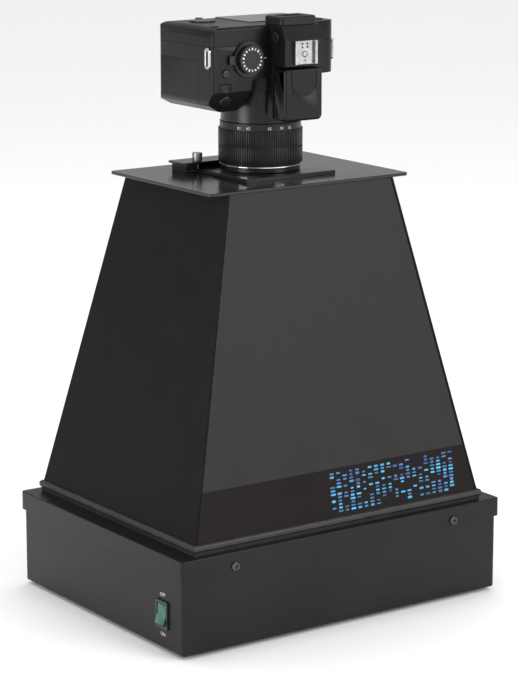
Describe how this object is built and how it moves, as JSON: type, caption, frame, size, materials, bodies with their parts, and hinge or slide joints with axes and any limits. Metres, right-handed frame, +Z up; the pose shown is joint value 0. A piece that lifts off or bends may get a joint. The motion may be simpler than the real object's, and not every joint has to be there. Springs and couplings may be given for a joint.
{
  "type": "gel documentation system",
  "caption": "Ultraviolet light box with a tapering dark hood and a camera looking down into it, for photographing stained gels.",
  "frame": {"origin": "centre of the base's footprint, at the level of its feet", "axes": "+X along the wide front, -Y the front, +Z up"},
  "size_m": [0.3204, 0.2523, 0.486],
  "materials": {
    "sheet_black": "fine textured powder coat",
    "sheet_charcoal": "fine textured powder coat",
    "board_black": "fine grained black board",
    "seal_rubber": "smooth extruded rubber",
    "foot_rubber": "matt rubber",
    "gloss_black": "glossy black board",
    "screw_steel": "blackened steel",
    "uv_glass": "dark violet filter glass",
    "tube_glass": "tube glass",
    "bright_aluminium": "polished sheet",
    "white_plastic": "moulded",
    "ballast_steel": "painted steel case",
    "dark_plastic": "moulded",
    "switch_green": "clear moulded green",
    "adapter_black": "gloss black",
    "knurled_steel": "knurled",
    "amber_glass": "amber filter glass",
    "lens_black": "satin",
    "lens_rubber": "ribbed",
    "trim_silver": "bright",
    "optic_glass": "coated",
    "mount_steel": "bright",
    "camera_plastic": "fine textured charcoal",
    "camera_rubber": "grained skin",
    "button_black": "satin",
    "shoe_steel": "bright",
    "lug_steel": "bright",
    "screen_plastic": "clear over black"
  },
  "bodies": {
    "base": {"base_tray": "sheet_charcoal", "base_cover": "sheet_black", "cover_screws": "screw_steel", "rubber_feet": "foot_rubber", "filter_glass": "uv_glass", "filter_frame": "dark_plastic", "lamp_reflector": "bright_aluminium", "uv_tubes": "tube_glass", "lamp_holders": "white_plastic", "ballasts": "ballast_steel", "cooling_fan": "dark_plastic", "power_inlet": "dark_plastic", "switch_housing": "dark_plastic"},
    "hood": {"hood_front_panel": "board_black", "hood_rear_panel": "board_black", "hood_left_panel": "board_black", "hood_right_panel": "board_black", "hood_corner_angles": "board_black", "hood_edge_seal": "seal_rubber", "top_plate": "gloss_black", "adapter_plate": "adapter_black", "clamp_block": "adapter_black", "clamp_strip": "adapter_black", "camera_plate": "adapter_black", "filter_ring": "adapter_black", "amber_filter": "amber_glass", "lens_barrel": "lens_black", "trim_ring": "trim_silver", "lens_mount": "mount_steel", "camera_body": "camera_plastic", "top_cover": "camera_plastic", "rear_cover": "camera_plastic", "hand_grip": "camera_rubber", "hot_shoe": "shoe_steel", "eyecup": "camera_rubber", "screen_window": "screen_plastic", "strap_lugs": "lug_steel"},
    "rotor": {"fan_rotor": "dark_plastic"},
    "drawer": {"fuse_drawer": "dark_plastic"},
    "rocker": {"switch_rocker": "switch_green"},
    "left_screw": {"thumbscrew_left": "knurled_steel"},
    "right_screw": {"thumbscrew_right": "knurled_steel"},
    "zoom_grip": {"zoom_ring": "lens_rubber"},
    "zoom_optics": {"zoom_group": "lens_black", "lens_elements": "optic_glass"},
    "focus_grip": {"focus_ring": "lens_black"},
    "flash": {"pop_up_flash": "camera_plastic"},
    "dial": {"mode_dial": "button_black"},
    "lever": {"power_lever": "button_black"},
    "iso": {"iso_button": "button_black"},
    "shutter": {"shutter_button": "button_black"},
    "wheel": {"control_wheel": "button_black"},
    "dioptre": {"diopter_dial": "button_black"},
    "keys": {"cross_keys": "button_black"},
    "menu": {"menu_button": "button_black"},
    "play": {"play_button": "button_black"},
    "lock": {"lock_button": "button_black"},
    "release": {"release_button": "button_black"},
    "door": {"battery_door": "camera_plastic"},
    "sockets_cover": {"port_cover": "camera_rubber"}
  },
  "joints": [
    {"name": "hood_lift", "type": "slide", "parent": "base", "child": "hood", "axis": [0, 0, 1], "range_m": [0, 0.3]},
    {"name": "rocker_tilt", "type": "hinge", "parent": "base", "child": "rocker", "pos_m": [-0.1562, -0.093, 0.0307], "axis": [0, -1, 0], "range_deg": [0, 24]},
    {"name": "fan_spin", "type": "hinge", "parent": "base", "child": "rotor", "pos_m": [0.07, 0.1155, 0.0255], "axis": [0, 1, 0], "continuous": true},
    {"name": "fuse_slide", "type": "slide", "parent": "base", "child": "drawer", "axis": [0, 1, 0], "range_m": [0, 0.014]},
    {"name": "left_screw_turn", "type": "hinge", "parent": "hood", "child": "left_screw", "pos_m": [-0.039, 0.0325, 0.3642], "axis": [0, 0, 1], "continuous": true},
    {"name": "right_screw_turn", "type": "hinge", "parent": "hood", "child": "right_screw", "pos_m": [0.039, 0.0325, 0.3642], "axis": [0, 0, 1], "continuous": true},
    {"name": "zoom_turn", "type": "hinge", "parent": "hood", "child": "zoom_grip", "pos_m": [0, -0.002, 0.3782], "axis": [0, 0, 1], "range_deg": [-35, 40]},
    {"name": "zoom_slide", "type": "slide", "parent": "hood", "child": "zoom_optics", "axis": [0, 0, 1], "range_m": [-0.00418, 0.00478]},
    {"name": "focus_turn", "type": "hinge", "parent": "hood", "child": "focus_grip", "pos_m": [0, -0.002, 0.3602], "axis": [0, 0, 1], "range_deg": [-60, 60]},
    {"name": "flash_lift", "type": "hinge", "parent": "hood", "child": "flash", "pos_m": [0, -0.0615, 0.444], "axis": [-1, 0, 0], "range_deg": [0, 80]},
    {"name": "mode_turn", "type": "hinge", "parent": "hood", "child": "dial", "pos_m": [-0.039, -0.044, 0.453], "axis": [0, -1, 0], "continuous": true},
    {"name": "power_turn", "type": "hinge", "parent": "hood", "child": "lever", "pos_m": [-0.039, -0.041, 0.453], "axis": [0, 1, 0], "range_deg": [0, 30]},
    {"name": "iso_press", "type": "slide", "parent": "hood", "child": "iso", "axis": [0, 1, 0], "range_m": [0, 0.0007], "stiffness_N_per_m": 400, "springref_m": -0.001},
    {"name": "shutter_press", "type": "slide", "parent": "hood", "child": "shutter", "axis": [0, 0.817, 0.5767], "range_m": [0, 0.0007], "stiffness_N_per_m": 400, "springref_m": -0.001},
    {"name": "wheel_turn", "type": "hinge", "parent": "hood", "child": "wheel", "pos_m": [-0.06, -0.0343, 0.431], "axis": [0, 0, 1], "continuous": true},
    {"name": "dioptre_turn", "type": "hinge", "parent": "hood", "child": "dioptre", "pos_m": [-0.0195, -0.052, 0.47], "axis": [1, 0, 0], "range_deg": [-120, 120]},
    {"name": "keys_press", "type": "slide", "parent": "hood", "child": "keys", "axis": [0, 0, -1], "range_m": [0, 0.0007], "stiffness_N_per_m": 400, "springref_m": -0.001},
    {"name": "menu_press", "type": "slide", "parent": "hood", "child": "menu", "axis": [0, 0, -1], "range_m": [0, 0.0007], "stiffness_N_per_m": 400, "springref_m": -0.001},
    {"name": "play_press", "type": "slide", "parent": "hood", "child": "play", "axis": [0, 0, -1], "range_m": [0, 0.0007], "stiffness_N_per_m": 400, "springref_m": -0.001},
    {"name": "lock_press", "type": "slide", "parent": "hood", "child": "lock", "axis": [0, 0, -1], "range_m": [0, 0.0007], "stiffness_N_per_m": 400, "springref_m": -0.001},
    {"name": "release_press", "type": "slide", "parent": "hood", "child": "release", "axis": [0, 0, 1], "range_m": [0, 0.0015], "stiffness_N_per_m": 400, "springref_m": -0.001},
    {"name": "battery_open", "type": "hinge", "parent": "hood", "child": "door", "pos_m": [-0.06415, 0.0405, 0.451], "axis": [0, 0, 1], "range_deg": [0, 110]},
    {"name": "sockets_open", "type": "hinge", "parent": "hood", "child": "sockets_cover", "pos_m": [0.0575, 0.02115, 0.454], "axis": [0, 0, 1], "range_deg": [0, 110]}
  ],
  "couplings": [
    {"joint": "zoom_turn", "follows": "zoom_slide", "rad_per_m": 145.45}
  ]
}
